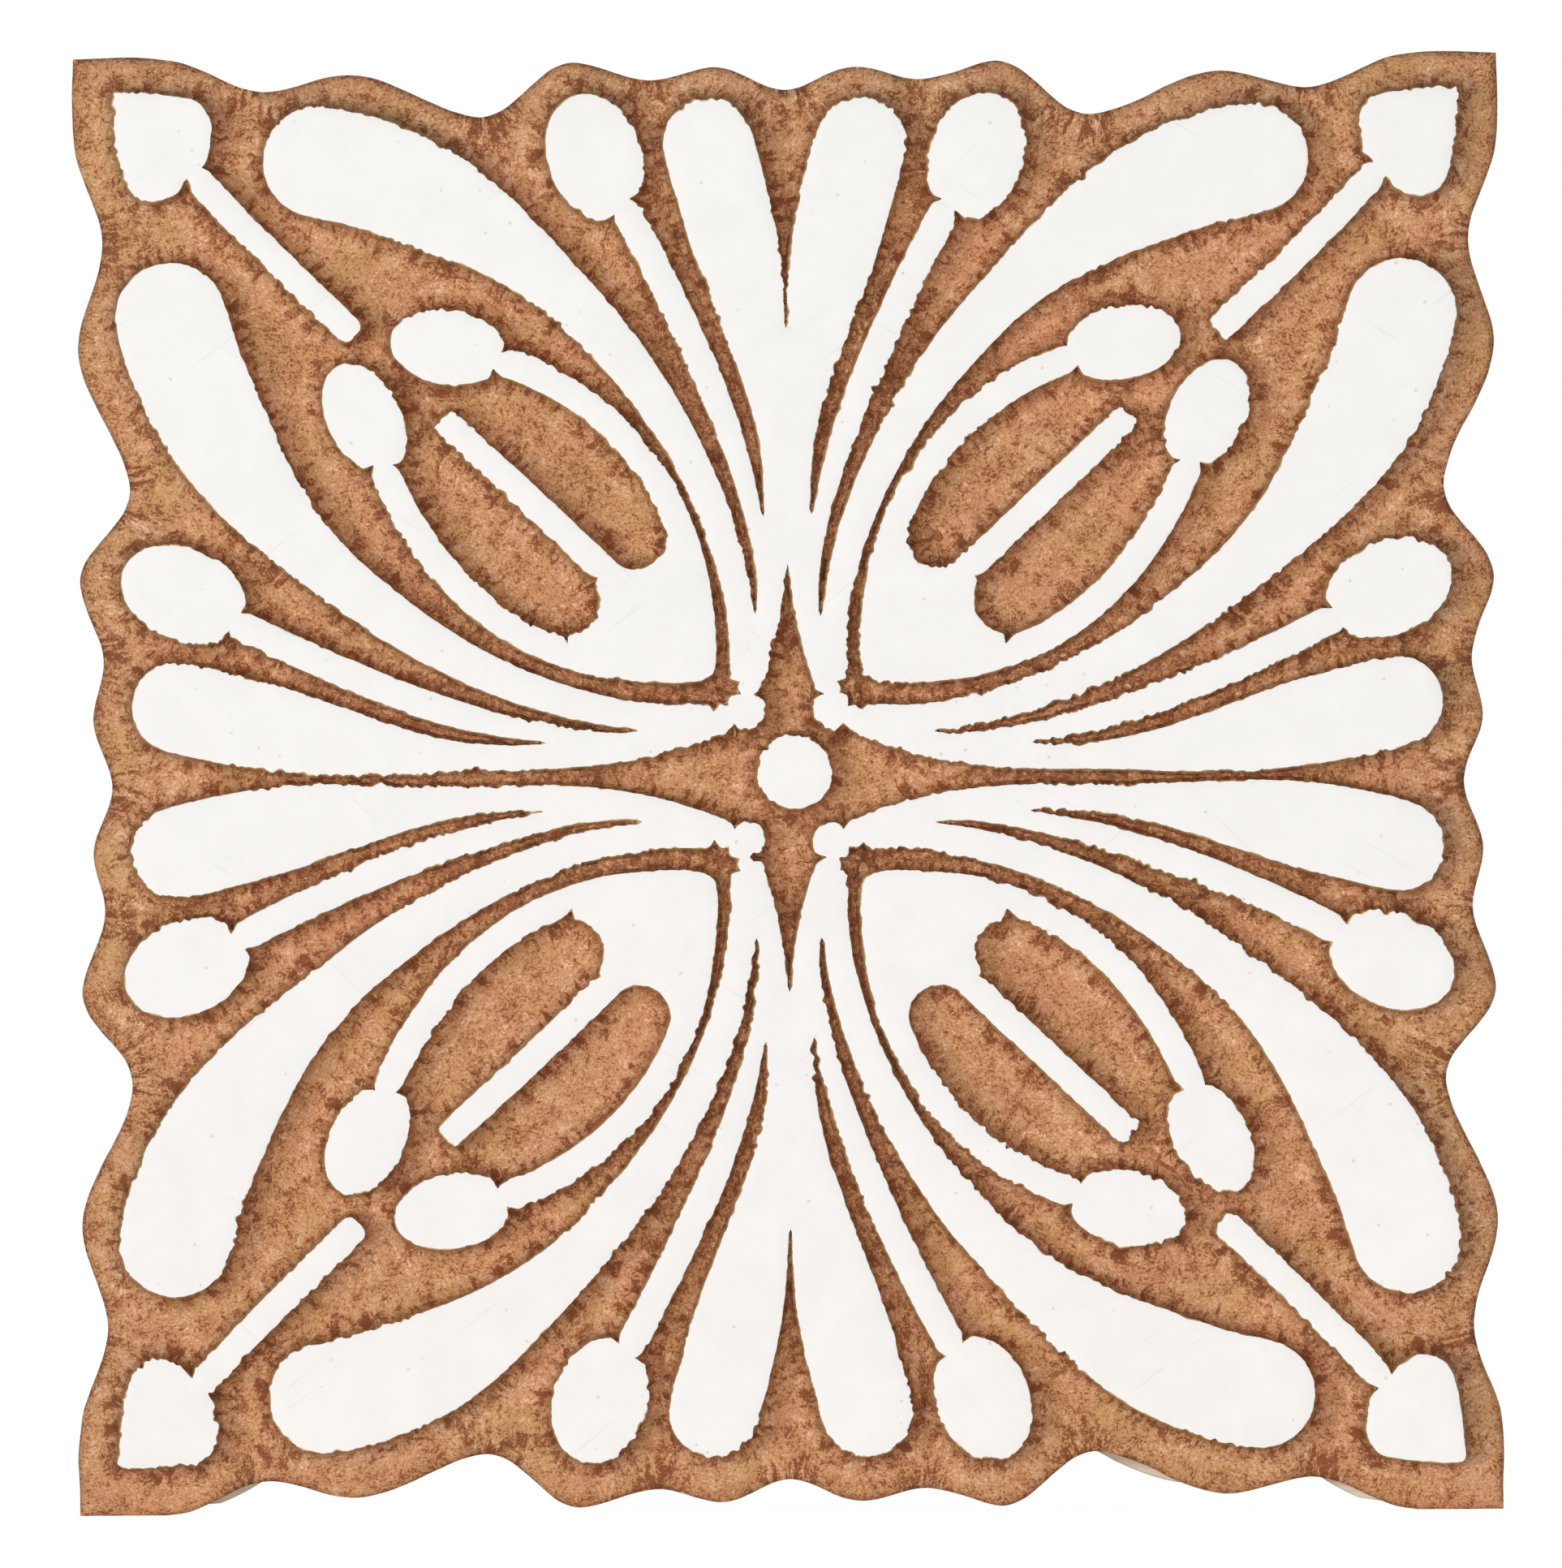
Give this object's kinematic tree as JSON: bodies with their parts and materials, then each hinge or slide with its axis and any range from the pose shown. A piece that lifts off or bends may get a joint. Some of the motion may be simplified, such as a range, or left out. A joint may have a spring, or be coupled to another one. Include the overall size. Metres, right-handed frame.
{
  "type": "textile printing block",
  "caption": "Square wooden hand block with a scalloped edge, carved in relief with palmettes, buds and corner arrows for stamping dye on cloth, with a coved handle behind.",
  "frame": {"origin": "middle of the block's footprint, on the surface that it stands on", "axes": "-Y out of the carved printing face, +Y towards the handle, +Z to the top of the pattern, +X to the right of someone who faces the carving"},
  "size_m": [0.12, 0.0624, 0.1228],
  "materials": {
    "face_wood": "carved, unfinished, open pores",
    "backing_wood": "sawn, unfinished",
    "handle_wood": "rubbed with oil, worn smooth",
    "screw_steel": "dull, darkened",
    "white_coat": "thin matt white coat on the end of the wood"
  },
  "bodies": {
    "root": {"face_board": "face_wood", "core_board": "backing_wood", "back_board": "backing_wood", "handle": "handle_wood", "handle_screws": "screw_steel", "coat_upper_palmettes": "white_coat", "coat_lower_palmettes": "white_coat", "coat_buds": "white_coat", "coat_corner_arrows": "white_coat", "coat_centre_dot": "white_coat"}
  },
  "joints": []
}
